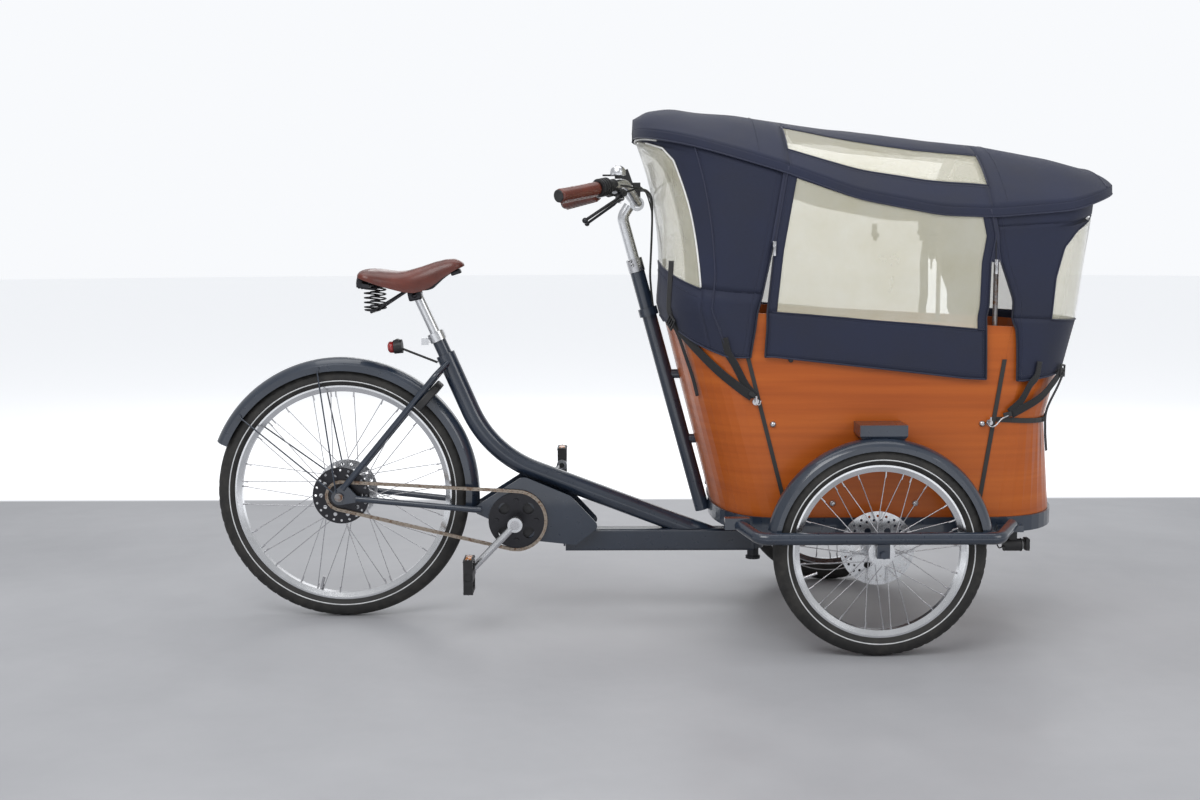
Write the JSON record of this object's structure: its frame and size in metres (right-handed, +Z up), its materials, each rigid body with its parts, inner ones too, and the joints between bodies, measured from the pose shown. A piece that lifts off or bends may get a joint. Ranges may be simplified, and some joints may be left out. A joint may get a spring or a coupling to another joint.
{
  "type": "cargo bicycle",
  "caption": "Front-loading cargo tricycle with a plywood box, rain tent, mid motor and a box that steers on a kingpin.",
  "frame": {"origin": "centre of the overall footprint, on the ground", "axes": "+X forward to the box, +Y to the rider's left, +Z up"},
  "size_m": [2.2833, 0.8862, 1.3174],
  "materials": {
    "frame_paint": "gloss",
    "black_parts": "satin",
    "tyre_rubber": "matte",
    "alloy": "satin",
    "steel_parts": "satin",
    "chain_steel": "worn",
    "plywood": "varnished",
    "saddle_leather": "polished",
    "tent_cloth": "coated",
    "clear_vinyl": "clear",
    "webbing": "woven",
    "cushion_cloth": "woven"
  },
  "bodies": {
    "rear_frame": {"main_frame": "frame_paint", "lower_beam": "frame_paint", "rear_stays": "frame_paint", "motor_unit": "black_parts", "motor_cover": "frame_paint", "rear_mudguard": "frame_paint", "seat_clamp": "alloy", "tail_light": "black_parts", "ring_lock": "black_parts", "chain": "chain_steel", "rear_axle": "steel_parts"},
    "rear_wheel": {"rear_tyre": "tyre_rubber", "rear_rim": "alloy", "rear_spokes": "steel_parts", "rear_hub": "alloy"},
    "freewheel": {"rear_sprocket": "black_parts"},
    "crank": {"crank_spindle": "steel_parts", "chainring": "black_parts", "crank_arms": "alloy"},
    "right_pedal": {"pedal_right": "black_parts"},
    "left_pedal": {"pedal_left": "black_parts"},
    "seat": {"seatpost": "alloy", "saddle_top": "saddle_leather", "saddle_frame": "steel_parts"},
    "front_frame": {"base_frame": "frame_paint", "kingpin": "black_parts", "guard_bars": "frame_paint", "box_floor": "plywood", "box_sides": "plywood", "box_rear": "plywood", "box_front": "plywood", "box_trim": "black_parts", "box_hardware": "steel_parts", "bench": "plywood", "cushions": "cushion_cloth", "front_mudguards": "frame_paint", "headlight": "black_parts", "handlebar_post": "frame_paint", "tent_roof": "tent_cloth", "tent_walls": "tent_cloth", "tent_doors": "tent_cloth", "tent_windows": "clear_vinyl", "tent_bows": "steel_parts", "tent_straps": "webbing"},
    "front_right_wheel": {"right_tyre": "tyre_rubber", "right_rim": "alloy", "right_spokes": "steel_parts", "right_hub": "alloy"},
    "front_left_wheel": {"left_tyre": "tyre_rubber", "left_rim": "alloy", "left_spokes": "steel_parts", "left_hub": "alloy"},
    "handlebars": {"stem": "alloy", "handlebar": "alloy", "grips": "saddle_leather", "cockpit": "black_parts"},
    "right_brake_lever": {"brake_lever_right": "black_parts"},
    "left_brake_lever": {"brake_lever_left": "black_parts"},
    "twist_grip": {"twist_shifter": "black_parts"},
    "bell_thumb_lever": {"bell_lever": "black_parts"}
  },
  "joints": [
    {"name": "steering", "type": "hinge", "parent": "rear_frame", "child": "front_frame", "pos_m": [0.26375, 0, 0.24], "axis": [0, 0, 1], "range_deg": [-35, 35]},
    {"name": "rear_wheel_spin", "type": "hinge", "parent": "rear_frame", "child": "rear_wheel", "pos_m": [-0.81225, 0, 0.3295], "axis": [0, 1, 0], "continuous": true},
    {"name": "crank_spin", "type": "hinge", "parent": "rear_frame", "child": "crank", "pos_m": [-0.35725, 0, 0.263], "axis": [0, 1, 0], "continuous": true},
    {"name": "sprocket_spin", "type": "hinge", "parent": "rear_frame", "child": "freewheel", "pos_m": [-0.81225, 0, 0.3295], "axis": [0, 1, 0], "continuous": true},
    {"name": "pedal_right_spin", "type": "hinge", "parent": "crank", "child": "right_pedal", "pos_m": [-0.47187, -0.148, 0.14431], "axis": [0, 1, 0], "continuous": true},
    {"name": "pedal_left_spin", "type": "hinge", "parent": "crank", "child": "left_pedal", "pos_m": [-0.24263, 0.148, 0.38169], "axis": [0, 1, 0], "continuous": true},
    {"name": "seat_height", "type": "slide", "parent": "rear_frame", "child": "seat", "axis": [-0.4121, 0, 0.9112], "range_m": [-0.03, 0.08]},
    {"name": "right_wheel_spin", "type": "hinge", "parent": "front_frame", "child": "front_right_wheel", "pos_m": [0.52175, -0.385, 0.253], "axis": [0, 1, 0], "continuous": true},
    {"name": "left_wheel_spin", "type": "hinge", "parent": "front_frame", "child": "front_left_wheel", "pos_m": [0.52175, 0.385, 0.253], "axis": [0, 1, 0], "continuous": true},
    {"name": "stem_height", "type": "slide", "parent": "front_frame", "child": "handlebars", "axis": [-0.2652, 0, 0.9642], "range_m": [-0.03, 0.05]},
    {"name": "right_brake_pull", "type": "hinge", "parent": "handlebars", "child": "right_brake_lever", "pos_m": [-0.08365, -0.18501, 1.09822], "axis": [-0.6449, 0.6901, -0.3285], "range_deg": [0, 12], "stiffness_Nm_per_rad": 1, "springref_deg": -5.73},
    {"name": "left_brake_pull", "type": "hinge", "parent": "handlebars", "child": "left_brake_lever", "pos_m": [-0.08365, 0.18501, 1.09822], "axis": [0.6449, 0.6901, 0.3285], "range_deg": [0, 12], "stiffness_Nm_per_rad": 1, "springref_deg": -5.73},
    {"name": "gear_twist", "type": "hinge", "parent": "handlebars", "child": "twist_grip", "pos_m": [-0.13218, -0.20856, 1.11299], "axis": [-0.6826, -0.7134, -0.1585], "range_deg": [-40, 40]},
    {"name": "bell_thumb", "type": "hinge", "parent": "handlebars", "child": "bell_thumb_lever", "pos_m": [-0.09327, -0.16789, 1.13342], "axis": [0, 0, 1], "range_deg": [0, 25], "stiffness_Nm_per_rad": 0.05, "springref_deg": -11.46}
  ],
  "couplings": [
    {"joint": "sprocket_spin", "follows": "crank_spin", "ratio": 2.1111}
  ]
}
